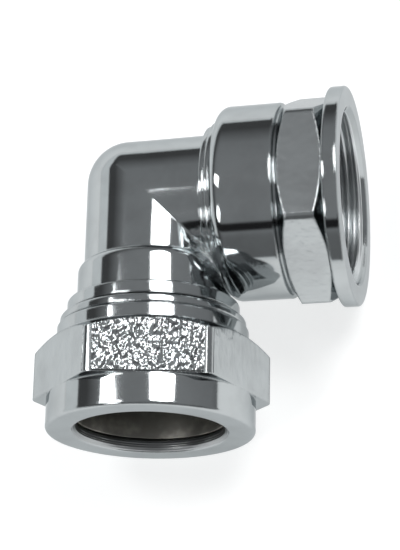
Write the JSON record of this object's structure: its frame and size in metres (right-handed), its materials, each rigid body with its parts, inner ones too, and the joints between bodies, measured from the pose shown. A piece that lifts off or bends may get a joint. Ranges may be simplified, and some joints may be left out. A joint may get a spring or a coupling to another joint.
{
  "type": "compression elbow fitting",
  "caption": "Right-angle pipe elbow in chromed brass: compression nut and ring for plain tube at the lower end, female pipe thread with a hex band at the side end.",
  "frame": {"origin": "centre of the tube stop inside the body, where the inserted tube's end comes to rest", "axes": "-Y along the tube's axis, out of the nut's mouth; +X along the threaded port's axis, out of its mouth; +Z square to the plane of the elbow"},
  "size_m": [0.0478, 0.052, 0.0338],
  "materials": {
    "chrome": "polished plate over brass",
    "brass": "turned"
  },
  "bodies": {
    "elbow": {"elbow_body": "chrome"},
    "ring": {"compression_ring": "brass"},
    "nut": {"compression_nut": "chrome"}
  },
  "joints": [
    {"name": "ring_slide", "type": "slide", "parent": "elbow", "child": "ring", "axis": [0, -1, 0], "range_m": [-0.0003, 0.00816]},
    {"name": "nut_turn", "type": "hinge", "parent": "ring", "child": "nut", "pos_m": [0, 0, 0], "axis": [0, -1, 0], "range_deg": [-60, 1620]}
  ],
  "couplings": [
    {"joint": "ring_slide", "follows": "nut_turn", "m_per_rad": 0.00028871}
  ]
}
